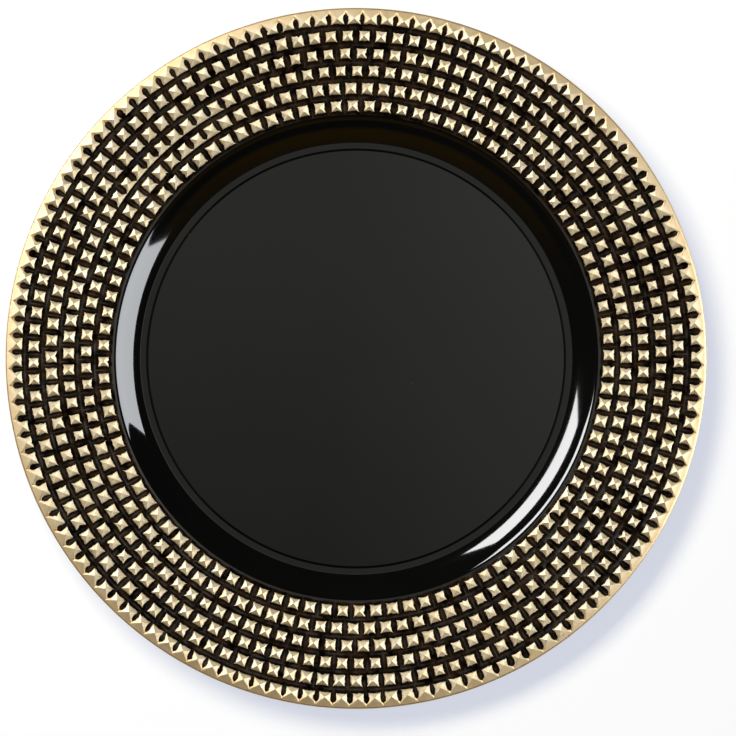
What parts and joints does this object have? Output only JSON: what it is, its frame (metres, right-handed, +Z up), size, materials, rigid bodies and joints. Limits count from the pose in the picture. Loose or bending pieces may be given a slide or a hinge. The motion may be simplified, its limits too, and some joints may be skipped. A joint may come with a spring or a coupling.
{
  "type": "charger plate",
  "caption": "Round black charger plate with a sunken glossy well, a wide rim covered in rows of gold-tipped pyramid studs and a gold edge; sets off a dinner plate on a table.",
  "frame": {"origin": "centre of the plate on the plane of its foot ring", "axes": "+Z up along the plate's axis; +X to the right and +Y to the top of the picture"},
  "size_m": [0.33, 0.33, 0.0185],
  "materials": {
    "black_gloss": "high-gloss moulded black plastic",
    "gold_foil": "hot-stamped gold foil over moulded plastic"
  },
  "bodies": {
    "root": {"plate_body": "black_gloss", "gold_edge_band": "gold_foil", "gold_stud_row_1": "gold_foil", "gold_stud_row_2": "gold_foil", "gold_stud_row_3": "gold_foil", "gold_stud_row_4": "gold_foil", "gold_stud_row_5": "gold_foil", "gold_stud_row_6": "gold_foil"}
  },
  "joints": []
}
